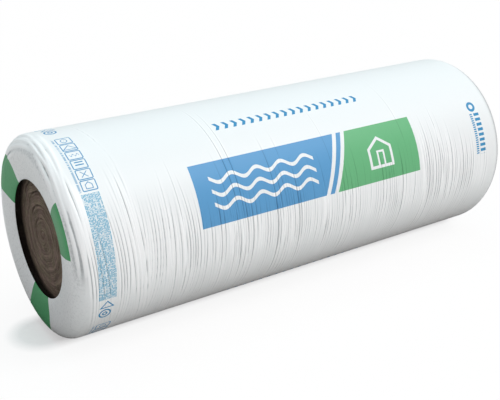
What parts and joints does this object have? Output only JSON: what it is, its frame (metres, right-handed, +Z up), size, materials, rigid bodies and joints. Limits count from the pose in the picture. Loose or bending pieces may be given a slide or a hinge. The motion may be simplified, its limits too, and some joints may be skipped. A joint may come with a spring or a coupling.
{
  "type": "insulation roll",
  "caption": "Roll of mineral-wool insulation in a printed film wrap, with round openings in the film at both ends that show the wound mat.",
  "frame": {"origin": "on the floor, below the middle of the roll as it lies", "axes": "+X along the roll's axis, +Z up, +Y to the side away from the printed front"},
  "size_m": [1.2036, 0.448, 0.448],
  "materials": {
    "wool": "matt brown mineral wool, in thin layers of fibre that follow the turns of the roll",
    "film": "white polyethylene film with a soft sheen and fine creases round the roll, printed in blue and green"
  },
  "bodies": {
    "root": {"wool_roll": "wool", "film_wrap": "film"}
  },
  "joints": []
}
